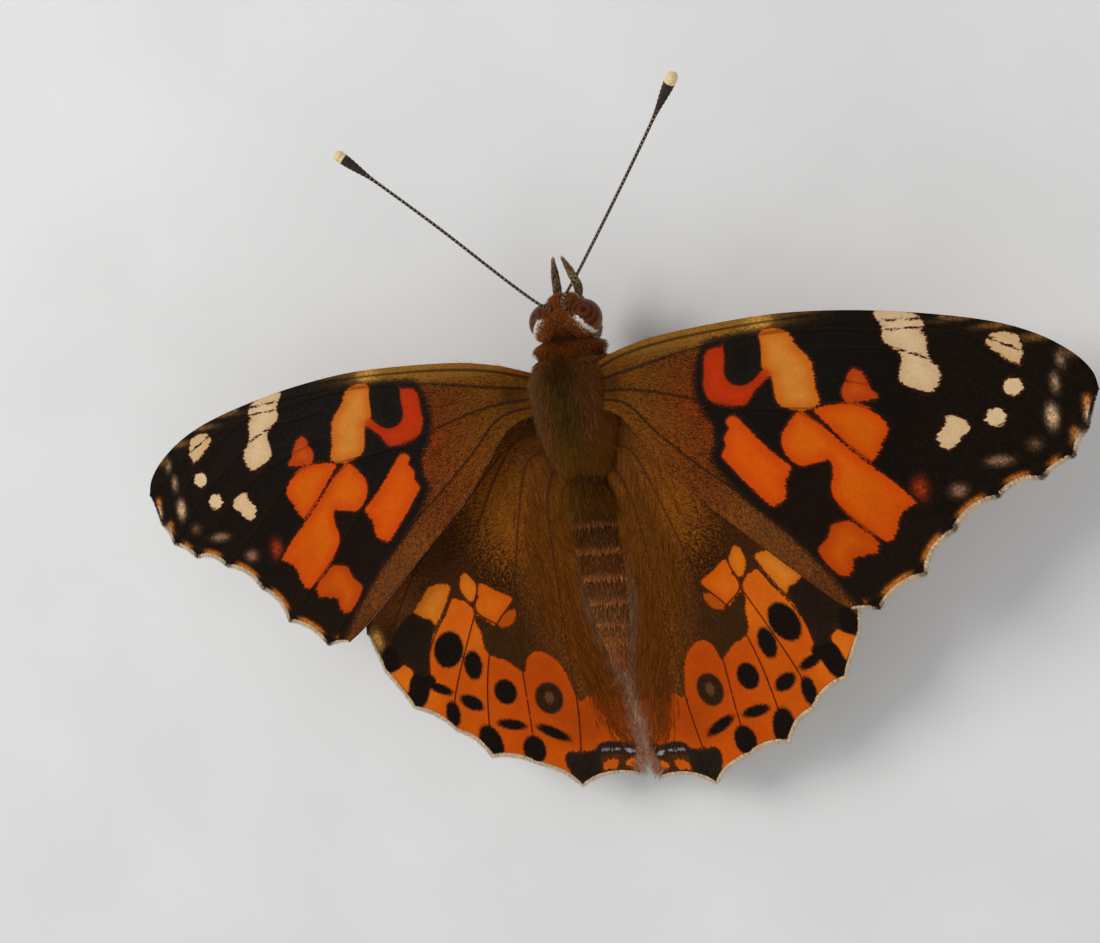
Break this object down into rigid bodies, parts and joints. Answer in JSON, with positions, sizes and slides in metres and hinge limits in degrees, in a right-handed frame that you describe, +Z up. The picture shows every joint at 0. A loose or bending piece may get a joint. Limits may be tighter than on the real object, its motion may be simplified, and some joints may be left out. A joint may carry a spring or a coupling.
{
  "type": "butterfly",
  "caption": "Painted lady butterfly at rest with its wings spread nearly flat, feelers raised and hindwings meeting behind the body, standing on its walking legs.",
  "frame": {"origin": "centre of the bounding box in plan, at the floor under the feet", "axes": "+Y forward past the head, +X to the animal's right, +Z up"},
  "size_m": [0.0654, 0.0447, 0.0145],
  "materials": {
    "body_fur": "short olive-brown and rust fur",
    "chitin": "dark brown, faintly glossy under pale scales",
    "eye": "glossy reddish brown with darker bands",
    "palp_scales": "tan and dark brown scales",
    "forewing_scales": "matt scales: orange, black and white, golden brown at the root",
    "hindwing_scales": "matt scales: orange with black spots, olive-brown hairs along the inner edge"
  },
  "bodies": {
    "root": {"thorax": "body_fur", "collar": "body_fur", "head": "body_fur", "abdomen": "body_fur", "eye_left": "eye", "eye_right": "eye", "antenna_left": "chitin", "antenna_right": "chitin", "palp_left": "palp_scales", "palp_right": "palp_scales", "proboscis": "chitin", "forewing_left": "forewing_scales", "forewing_right": "forewing_scales", "hindwing_left": "hindwing_scales", "hindwing_right": "hindwing_scales", "foreleg_left": "chitin", "foreleg_right": "chitin", "midleg_left": "chitin", "midleg_right": "chitin", "hindleg_left": "chitin", "hindleg_right": "chitin"}
  },
  "joints": []
}
